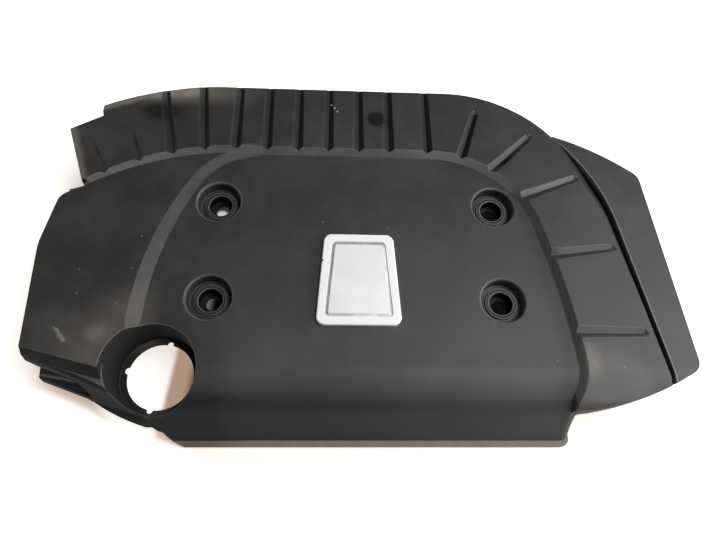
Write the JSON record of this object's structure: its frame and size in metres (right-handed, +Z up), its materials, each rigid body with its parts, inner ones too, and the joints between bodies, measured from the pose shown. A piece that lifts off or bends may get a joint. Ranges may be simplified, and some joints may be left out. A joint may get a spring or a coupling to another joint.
{
  "type": "engine cover",
  "caption": "Moulded black engine cover with a raised grooved strip, a side wing, a rolled-over front, an oil filler well, rubber-bushed screw wells and a bare badge.",
  "frame": {"origin": "middle of the cover's box, at the rim plane it rests on", "axes": "+X to the cover's right along its length, +Y to its rear, +Z up out of the panel"},
  "size_m": [0.6122, 0.3714, 0.0804],
  "materials": {
    "cover": "fine-grained satin black with dust",
    "badge_frame": "pale silver",
    "badge_plate": "silver",
    "bush": "dull black"
  },
  "bodies": {
    "root": {"cover_shell": "cover", "badge_frame": "badge_frame", "badge_plate": "badge_plate", "grommet_front_left": "bush", "grommet_front_right": "bush", "grommet_rear_left": "bush", "grommet_rear_right": "bush"}
  },
  "joints": []
}
